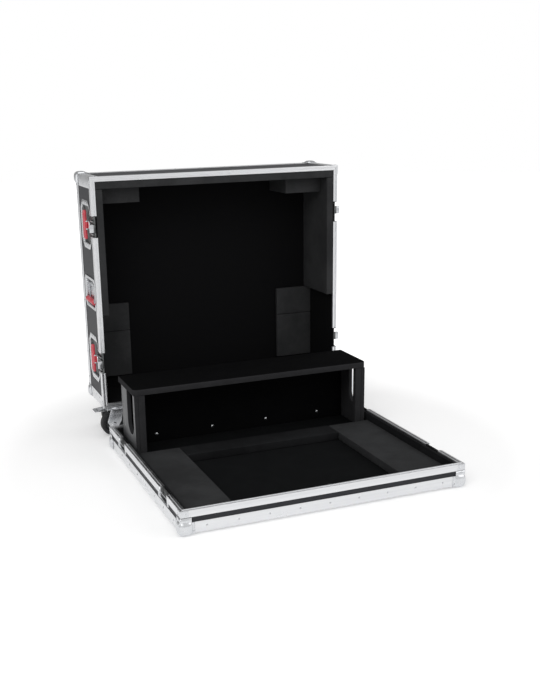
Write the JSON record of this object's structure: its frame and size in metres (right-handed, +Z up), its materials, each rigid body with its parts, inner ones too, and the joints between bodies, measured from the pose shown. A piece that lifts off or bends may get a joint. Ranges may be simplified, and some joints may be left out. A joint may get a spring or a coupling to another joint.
{
  "type": "mixer flight case",
  "caption": "Wheeled flight case for a mixing console: low tray with a cable box, and a deep foam-lined lid with latches, handles and casters, standing open behind it.",
  "frame": {"origin": "on the floor at the middle of the open case as it stands", "axes": "+Z up, +Y from the tray towards the standing lid, +X to the right as seen from the tray's front"},
  "size_m": [1.054, 1.2224, 1.0185],
  "materials": {
    "aluminium": "satin anodised extrusion",
    "zinc_steel": "bright zinc-plated pressing",
    "laminate": "fine-grained laminate on plywood",
    "carpeted_plywood": "needle-felt carpet on plywood",
    "grey_foam": "dense foam with a felt face",
    "black_lining": "black carpet and foam lining",
    "red_plastic": "moulded, lightly worn",
    "tyre": "dark rubber tread on a moulded hub"
  },
  "bodies": {
    "tray": {"tray_floor": "laminate", "tray_walls": "laminate", "tray_base_edging": "aluminium", "tray_rim": "aluminium", "tray_corner_front_left": "zinc_steel", "tray_corner_front_right": "zinc_steel", "tray_corner_back_left": "zinc_steel", "tray_corner_back_right": "zinc_steel", "keeper_front_left": "zinc_steel", "keeper_front_right": "zinc_steel", "keeper_back_left": "zinc_steel", "keeper_back_right": "zinc_steel", "tray_lining": "black_lining", "tray_pad_left": "grey_foam", "tray_pad_right": "grey_foam", "cable_box_shelf": "carpeted_plywood", "cable_box_side_left": "carpeted_plywood", "cable_box_side_right": "carpeted_plywood", "cable_box_back": "carpeted_plywood"},
    "lid": {"lid_panel": "laminate", "lid_walls": "laminate", "lid_rim": "aluminium", "lid_edging": "aluminium", "lid_foam": "grey_foam", "lid_corner_bottom_left": "zinc_steel", "lid_corner_bottom_right": "zinc_steel", "lid_corner_top_left": "zinc_steel", "lid_corner_top_right": "zinc_steel", "latch_dish_lower_left": "zinc_steel", "latch_dish_lower_right": "zinc_steel", "latch_dish_upper_left": "zinc_steel", "latch_dish_upper_right": "zinc_steel", "handle_dish_left": "zinc_steel", "handle_dish_right": "zinc_steel", "caster_plate_left": "zinc_steel", "caster_plate_right": "zinc_steel"},
    "latch_hub_lower_left": {"latch_hub_lower_left": "zinc_steel"},
    "latch_wing_lower_left": {"latch_wing_lower_left": "red_plastic"},
    "latch_hook_lower_left": {"latch_hook_lower_left": "zinc_steel"},
    "latch_hub_lower_right": {"latch_hub_lower_right": "zinc_steel"},
    "latch_wing_lower_right": {"latch_wing_lower_right": "red_plastic"},
    "latch_hook_lower_right": {"latch_hook_lower_right": "zinc_steel"},
    "latch_hub_upper_left": {"latch_hub_upper_left": "zinc_steel"},
    "latch_wing_upper_left": {"latch_wing_upper_left": "red_plastic"},
    "latch_hook_upper_left": {"latch_hook_upper_left": "zinc_steel"},
    "latch_hub_upper_right": {"latch_hub_upper_right": "zinc_steel"},
    "latch_wing_upper_right": {"latch_wing_upper_right": "red_plastic"},
    "latch_hook_upper_right": {"latch_hook_upper_right": "zinc_steel"},
    "handle_bail_left": {"handle_bail_left": "red_plastic"},
    "handle_bail_right": {"handle_bail_right": "red_plastic"},
    "caster_fork_front_left": {"caster_fork_front_left": "zinc_steel"},
    "caster_wheel_front_left": {"caster_wheel_front_left": "tyre"},
    "caster_fork_front_right": {"caster_fork_front_right": "zinc_steel"},
    "caster_wheel_front_right": {"caster_wheel_front_right": "tyre"},
    "caster_fork_back_left": {"caster_fork_back_left": "zinc_steel"},
    "caster_wheel_back_left": {"caster_wheel_back_left": "tyre"},
    "caster_fork_back_right": {"caster_fork_back_right": "zinc_steel"},
    "caster_wheel_back_right": {"caster_wheel_back_right": "tyre"},
    "caster_brake_left": {"caster_brake_left": "zinc_steel"},
    "caster_brake_right": {"caster_brake_right": "zinc_steel"}
  },
  "joints": [
    {"name": "lid_tip", "type": "hinge", "parent": "tray", "child": "lid", "pos_m": [0, 0.34125, 0.066], "axis": [1, 0, 0], "range_deg": [0, 90]},
    {"name": "latch_lower_left_turn", "type": "hinge", "parent": "lid", "child": "latch_hub_lower_left", "pos_m": [-0.5, 0.44175, 0.311], "axis": [-1, 0, 0], "range_deg": [0, 180]},
    {"name": "latch_lower_left_fold", "type": "hinge", "parent": "latch_hub_lower_left", "child": "latch_wing_lower_left", "pos_m": [-0.503, 0.44175, 0.311], "axis": [0, 0, 1], "range_deg": [0, 90]},
    {"name": "latch_lower_left_hook", "type": "slide", "parent": "lid", "child": "latch_hook_lower_left", "axis": [0, -1, 0], "range_m": [0, 0.012]},
    {"name": "latch_lower_right_turn", "type": "hinge", "parent": "lid", "child": "latch_hub_lower_right", "pos_m": [0.5, 0.44175, 0.311], "axis": [1, 0, 0], "range_deg": [0, 180]},
    {"name": "latch_lower_right_fold", "type": "hinge", "parent": "latch_hub_lower_right", "child": "latch_wing_lower_right", "pos_m": [0.503, 0.44175, 0.311], "axis": [0, 0, -1], "range_deg": [0, 90]},
    {"name": "latch_lower_right_hook", "type": "slide", "parent": "lid", "child": "latch_hook_lower_right", "axis": [0, -1, 0], "range_m": [0, 0.012]},
    {"name": "latch_upper_left_turn", "type": "hinge", "parent": "lid", "child": "latch_hub_upper_left", "pos_m": [-0.5, 0.44175, 0.829], "axis": [-1, 0, 0], "range_deg": [0, 180]},
    {"name": "latch_upper_left_fold", "type": "hinge", "parent": "latch_hub_upper_left", "child": "latch_wing_upper_left", "pos_m": [-0.503, 0.44175, 0.829], "axis": [0, 0, 1], "range_deg": [0, 90]},
    {"name": "latch_upper_left_hook", "type": "slide", "parent": "lid", "child": "latch_hook_upper_left", "axis": [0, -1, 0], "range_m": [0, 0.012]},
    {"name": "latch_upper_right_turn", "type": "hinge", "parent": "lid", "child": "latch_hub_upper_right", "pos_m": [0.5, 0.44175, 0.829], "axis": [1, 0, 0], "range_deg": [0, 180]},
    {"name": "latch_upper_right_fold", "type": "hinge", "parent": "latch_hub_upper_right", "child": "latch_wing_upper_right", "pos_m": [0.503, 0.44175, 0.829], "axis": [0, 0, -1], "range_deg": [0, 90]},
    {"name": "latch_upper_right_hook", "type": "slide", "parent": "lid", "child": "latch_hook_upper_right", "axis": [0, -1, 0], "range_m": [0, 0.012]},
    {"name": "handle_left_swing", "type": "hinge", "parent": "lid", "child": "handle_bail_left", "pos_m": [-0.496, 0.45925, 0.6045], "axis": [0, 1, 0], "range_deg": [0, 90], "stiffness_Nm_per_rad": 0.3},
    {"name": "handle_right_swing", "type": "hinge", "parent": "lid", "child": "handle_bail_right", "pos_m": [0.496, 0.45925, 0.6045], "axis": [0, -1, 0], "range_deg": [0, 90], "stiffness_Nm_per_rad": 0.3},
    {"name": "caster_front_left_swivel", "type": "hinge", "parent": "lid", "child": "caster_fork_front_left", "pos_m": [-0.435, 0.42375, 0.1], "axis": [0, 0, 1], "continuous": true},
    {"name": "caster_front_left_roll", "type": "hinge", "parent": "caster_fork_front_left", "child": "caster_wheel_front_left", "pos_m": [-0.452, 0.42375, 0.048], "axis": [0, 1, 0], "continuous": true},
    {"name": "caster_front_right_swivel", "type": "hinge", "parent": "lid", "child": "caster_fork_front_right", "pos_m": [0.435, 0.42375, 0.1], "axis": [0, 0, 1], "continuous": true},
    {"name": "caster_front_right_roll", "type": "hinge", "parent": "caster_fork_front_right", "child": "caster_wheel_front_right", "pos_m": [0.452, 0.42375, 0.048], "axis": [0, 1, 0], "continuous": true},
    {"name": "caster_back_left_swivel", "type": "hinge", "parent": "lid", "child": "caster_fork_back_left", "pos_m": [-0.435, 0.55575, 0.1], "axis": [0, 0, 1], "continuous": true},
    {"name": "caster_back_left_roll", "type": "hinge", "parent": "caster_fork_back_left", "child": "caster_wheel_back_left", "pos_m": [-0.418, 0.55575, 0.048], "axis": [0, 1, 0], "continuous": true},
    {"name": "caster_back_right_swivel", "type": "hinge", "parent": "lid", "child": "caster_fork_back_right", "pos_m": [0.435, 0.55575, 0.1], "axis": [0, 0, 1], "continuous": true},
    {"name": "caster_back_right_roll", "type": "hinge", "parent": "caster_fork_back_right", "child": "caster_wheel_back_right", "pos_m": [0.418, 0.55575, 0.048], "axis": [0, 1, 0], "continuous": true},
    {"name": "caster_left_brake", "type": "hinge", "parent": "caster_fork_front_left", "child": "caster_brake_left", "pos_m": [-0.471, 0.42375, 0.1135], "axis": [0, -1, 0], "range_deg": [0, 8]},
    {"name": "caster_right_brake", "type": "hinge", "parent": "caster_fork_front_right", "child": "caster_brake_right", "pos_m": [0.471, 0.42375, 0.1135], "axis": [0, 1, 0], "range_deg": [0, 8]}
  ],
  "couplings": [
    {"joint": "latch_lower_left_hook", "follows": "latch_lower_left_turn", "m_per_rad": 0.0038},
    {"joint": "latch_lower_right_hook", "follows": "latch_lower_right_turn", "m_per_rad": 0.0038},
    {"joint": "latch_upper_left_hook", "follows": "latch_upper_left_turn", "m_per_rad": 0.0038},
    {"joint": "latch_upper_right_hook", "follows": "latch_upper_right_turn", "m_per_rad": 0.0038}
  ]
}
